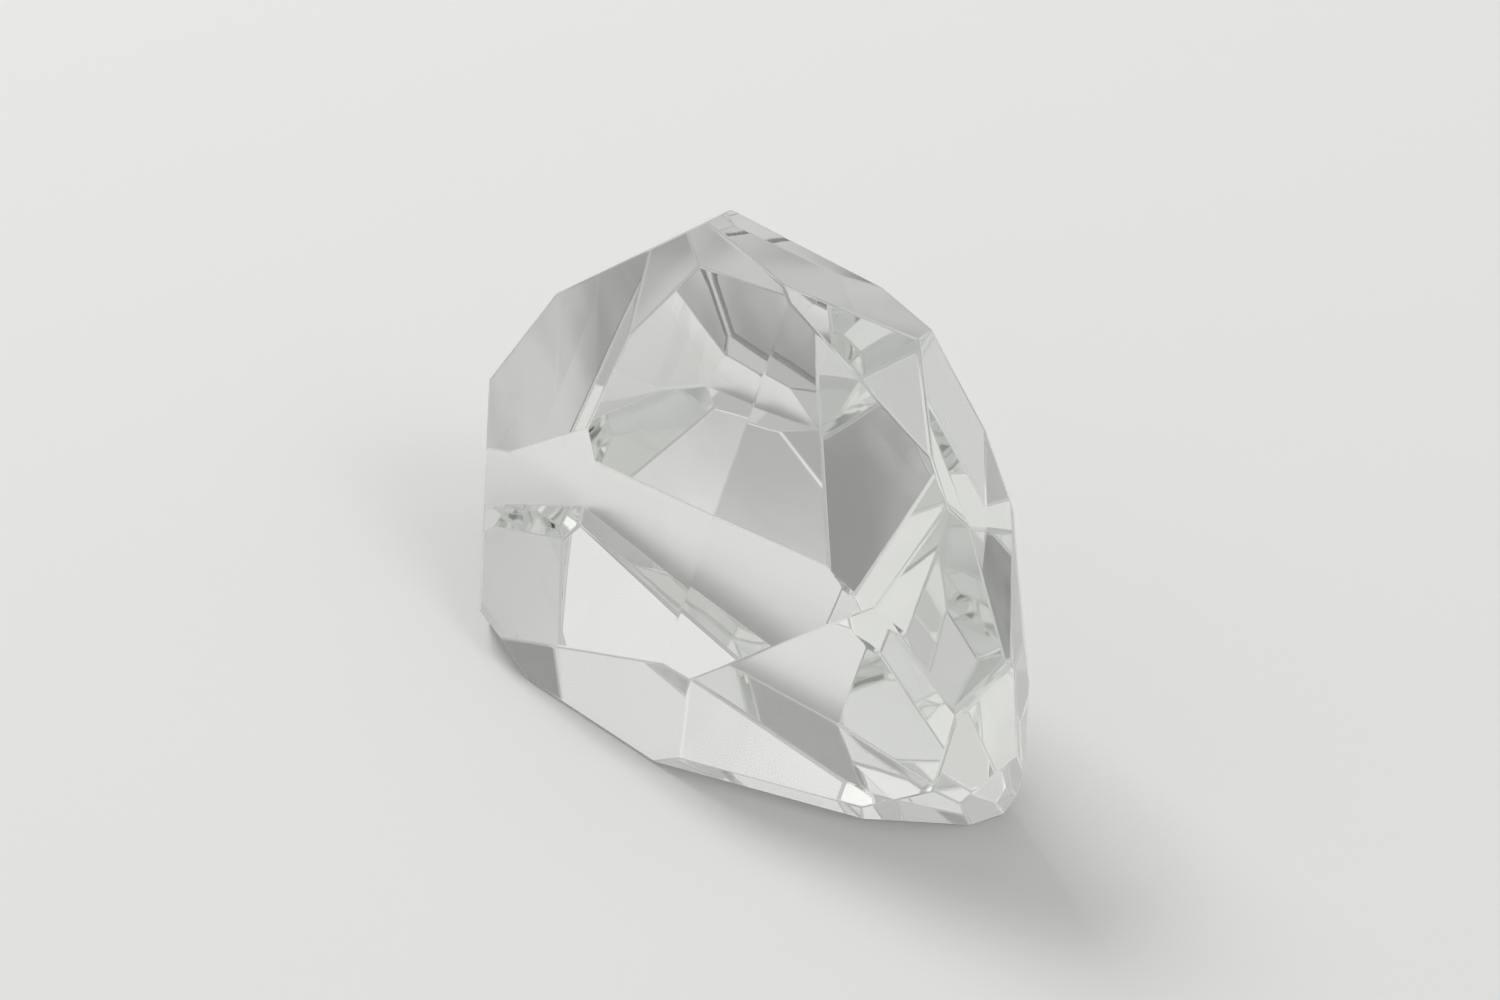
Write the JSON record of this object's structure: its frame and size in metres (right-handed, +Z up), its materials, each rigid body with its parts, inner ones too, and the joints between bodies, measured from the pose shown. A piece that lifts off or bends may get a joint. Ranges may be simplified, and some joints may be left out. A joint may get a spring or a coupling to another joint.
{
  "type": "paperweight",
  "caption": "Free-form cut-glass paperweight: a clear solid block with staggered flat facets, soft arrises and a flat polished base.",
  "frame": {"origin": "middle of the footprint's bounding box, on the polished base", "axes": "+Z up out of the base, -Y towards the front, where the lowest kite facet points down, +X to the right as seen from the front"},
  "size_m": [0.0538, 0.052, 0.043],
  "materials": {
    "crystal": "polished clear, softened arrises"
  },
  "bodies": {
    "root": {"crystal_body": "crystal"}
  },
  "joints": []
}
